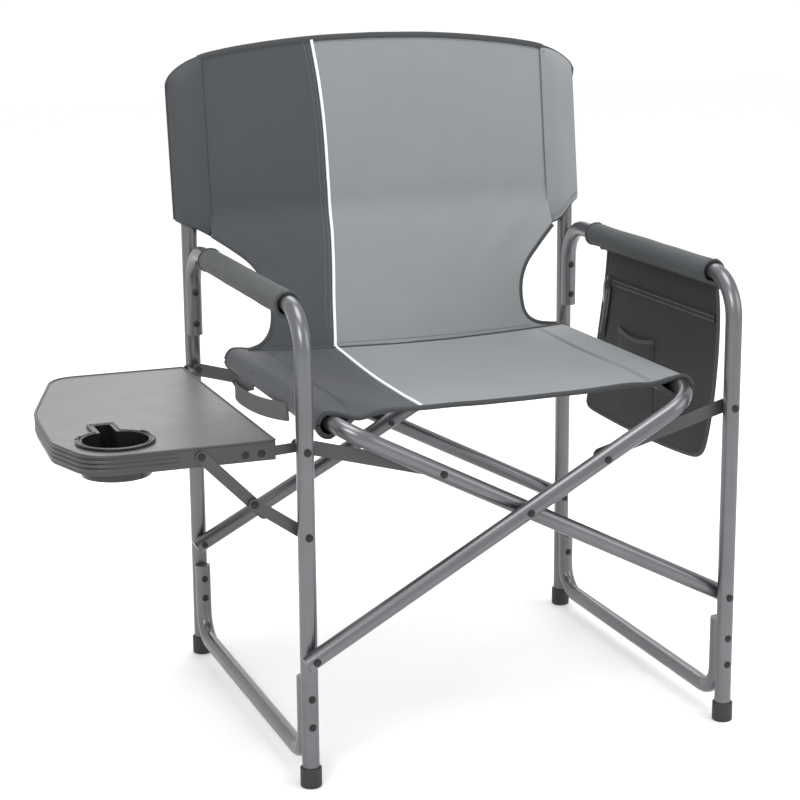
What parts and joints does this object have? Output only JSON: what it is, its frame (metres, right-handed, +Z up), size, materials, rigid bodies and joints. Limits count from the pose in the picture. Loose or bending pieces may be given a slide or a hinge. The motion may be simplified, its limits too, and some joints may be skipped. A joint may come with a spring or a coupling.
{
  "type": "folding camp chair",
  "caption": "Folding director-style camp chair with a fabric seat and back, padded tube arms, a fold-down side table with a cup holder and a hanging zipped side pocket.",
  "frame": {"origin": "on the floor under the middle of the whole chair's box, table and pocket included", "axes": "+Z up; -Y is the chair's front, where the sitter's legs go; the side table is on -X and the pocket on +X"},
  "size_m": [0.8894, 0.5938, 0.8932],
  "materials": {
    "frame_paint": "grey metallic powder coat, satin",
    "bracket_paint": "dark grey powder coat",
    "rivet_black": "black, satin",
    "foot_rubber": "matt black",
    "table_grey": "light grey, satin",
    "table_rim": "grey, ribbed edge",
    "cup_plastic": "black",
    "cloth_charcoal": "charcoal woven polyester",
    "cloth_grey": "grey woven polyester, charcoal on its left third, white piping",
    "strap_webbing": "dark webbing",
    "zip_metal": "black"
  },
  "bodies": {
    "left_frame": {"left_arm_and_leg": "frame_paint", "left_rear_upright": "frame_paint", "left_stretcher": "frame_paint", "left_front_foot": "foot_rubber", "left_rear_foot": "foot_rubber", "left_front_lower_rivet": "rivet_black", "left_rear_lower_rivet": "rivet_black", "left_front_link_rivet": "rivet_black", "left_rear_link_rivet": "rivet_black", "brace_front_leg_rivet": "rivet_black", "brace_rear_leg_rivet": "rivet_black", "left_arm_sleeve": "cloth_charcoal", "back_left_sleeve": "cloth_grey", "back_panel": "cloth_grey"},
    "right_frame": {"right_arm_and_leg": "frame_paint", "right_rear_upright": "frame_paint", "right_stretcher": "frame_paint", "right_front_foot": "foot_rubber", "right_rear_foot": "foot_rubber", "right_front_lower_rivet": "rivet_black", "right_rear_lower_rivet": "rivet_black", "right_front_link_rivet": "rivet_black", "right_rear_link_rivet": "rivet_black", "right_arm_sleeve": "cloth_charcoal", "back_right_sleeve": "cloth_grey", "side_pocket": "cloth_charcoal"},
    "seat_frame_a": {"seat_frame_a": "frame_paint", "front_cross_rivet": "rivet_black", "rear_cross_rivet": "rivet_black", "right_front_bar_rivet": "rivet_black", "right_rear_bar_rivet": "rivet_black", "seat_right_sleeve": "cloth_grey", "seat_panel": "cloth_grey"},
    "seat_frame_b": {"seat_frame_b": "frame_paint", "left_front_bar_rivet": "rivet_black", "left_rear_bar_rivet": "rivet_black", "seat_left_sleeve": "cloth_charcoal", "carry_strap": "strap_webbing"},
    "left_links": {"left_front_link": "bracket_paint", "left_rear_link": "bracket_paint"},
    "right_links": {"right_front_link": "bracket_paint", "right_rear_link": "bracket_paint"},
    "side_table": {"table_board": "table_grey", "table_rim": "table_rim", "table_front_arm": "bracket_paint", "table_rear_arm": "bracket_paint", "cup_holder": "cup_plastic", "brace_front_table_rivet": "rivet_black", "brace_rear_table_rivet": "rivet_black"},
    "brace_upper": {"brace_front_upper": "bracket_paint", "brace_rear_upper": "bracket_paint"},
    "brace_lower": {"brace_front_lower": "bracket_paint", "brace_rear_lower": "bracket_paint", "brace_front_knee_rivet": "rivet_black", "brace_rear_knee_rivet": "rivet_black"},
    "zip_slider": {"zip_slider": "zip_metal"}
  },
  "joints": [
    {"name": "fold", "type": "hinge", "parent": "left_frame", "child": "seat_frame_a", "pos_m": [-0.15925, -0.00359, 0.175], "axis": [0, -1, 0], "range_deg": [0, 49], "deforming": ["seat_panel", "back_panel", "carry_strap"]},
    {"name": "cross", "type": "hinge", "parent": "seat_frame_a", "child": "seat_frame_b", "pos_m": [0.13275, -0.00359, 0.327], "axis": [0, -1, 0], "range_deg": [-98, 0]},
    {"name": "right_lower", "type": "hinge", "parent": "seat_frame_b", "child": "right_frame", "pos_m": [0.42475, -0.00359, 0.175], "axis": [0, -1, 0], "range_deg": [0, 49]},
    {"name": "left_link_swing", "type": "hinge", "parent": "left_frame", "child": "left_links", "pos_m": [-0.15925, -0.00359, 0.434], "axis": [0, -1, 0], "range_deg": [0, 90.6]},
    {"name": "right_link_swing", "type": "hinge", "parent": "right_frame", "child": "right_links", "pos_m": [0.42475, -0.00359, 0.434], "axis": [0, -1, 0], "range_deg": [-90.6, 0]},
    {"name": "table_drop", "type": "hinge", "parent": "left_frame", "child": "side_table", "pos_m": [-0.15925, -0.00359, 0.434], "axis": [0, -1, 0], "range_deg": [0, 90]},
    {"name": "brace_upper_swing", "type": "hinge", "parent": "side_table", "child": "brace_upper", "pos_m": [-0.28325, -0.00359, 0.4345], "axis": [0, -1, 0], "range_deg": [0, 45.7]},
    {"name": "brace_lower_swing", "type": "hinge", "parent": "left_frame", "child": "brace_lower", "pos_m": [-0.15925, -0.00359, 0.327], "axis": [0, -1, 0], "range_deg": [-54.9, 0]},
    {"name": "zip", "type": "slide", "parent": "right_frame", "child": "zip_slider", "axis": [0, 0, -1], "range_m": [0, 0.085]}
  ],
  "couplings": [
    {"joint": "cross", "follows": "fold", "ratio": -2},
    {"joint": "right_lower", "follows": "fold", "ratio": 1},
    {"joint": "left_link_swing", "follows": "fold", "ratio": 1.8471},
    {"joint": "right_link_swing", "follows": "fold", "ratio": -1.8471},
    {"joint": "brace_upper_swing", "follows": "table_drop", "ratio": 0.50734},
    {"joint": "brace_lower_swing", "follows": "table_drop", "ratio": -0.60977}
  ]
}
